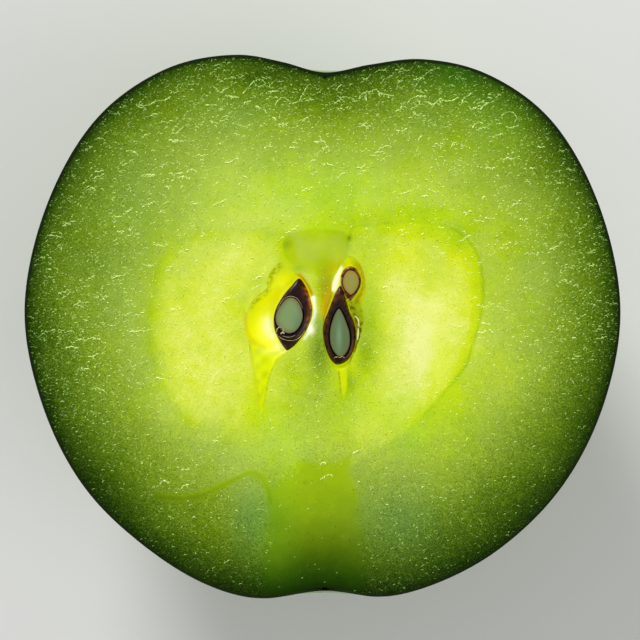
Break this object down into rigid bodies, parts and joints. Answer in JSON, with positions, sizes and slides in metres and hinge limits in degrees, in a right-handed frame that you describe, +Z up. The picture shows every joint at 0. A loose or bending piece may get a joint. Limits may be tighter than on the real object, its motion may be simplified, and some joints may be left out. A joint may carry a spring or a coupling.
{
  "type": "apple half",
  "caption": "Half of a green apple cut lengthwise beside the core, lying on its rounded side, with cut seeds in open seed chambers.",
  "frame": {"origin": "middle of the base of the half's box, on the surface it rests on", "axes": "+Z up out of the cut face, +Y towards the stem end, +X to the right of the cut face seen from above"},
  "size_m": [0.074, 0.0674, 0.0318],
  "materials": {
    "flesh": "moist, slightly translucent fruit flesh with a waxy green skin",
    "seed_coat": "glossy dark brown",
    "seed_kernel": "smooth, pale, moist"
  },
  "bodies": {
    "root": {"flesh": "flesh", "seed_left_coat": "seed_coat", "seed_left_kernel": "seed_kernel", "seed_right_coat": "seed_coat", "seed_right_kernel": "seed_kernel", "seed_small_coat": "seed_coat", "seed_small_kernel": "seed_kernel"}
  },
  "joints": []
}
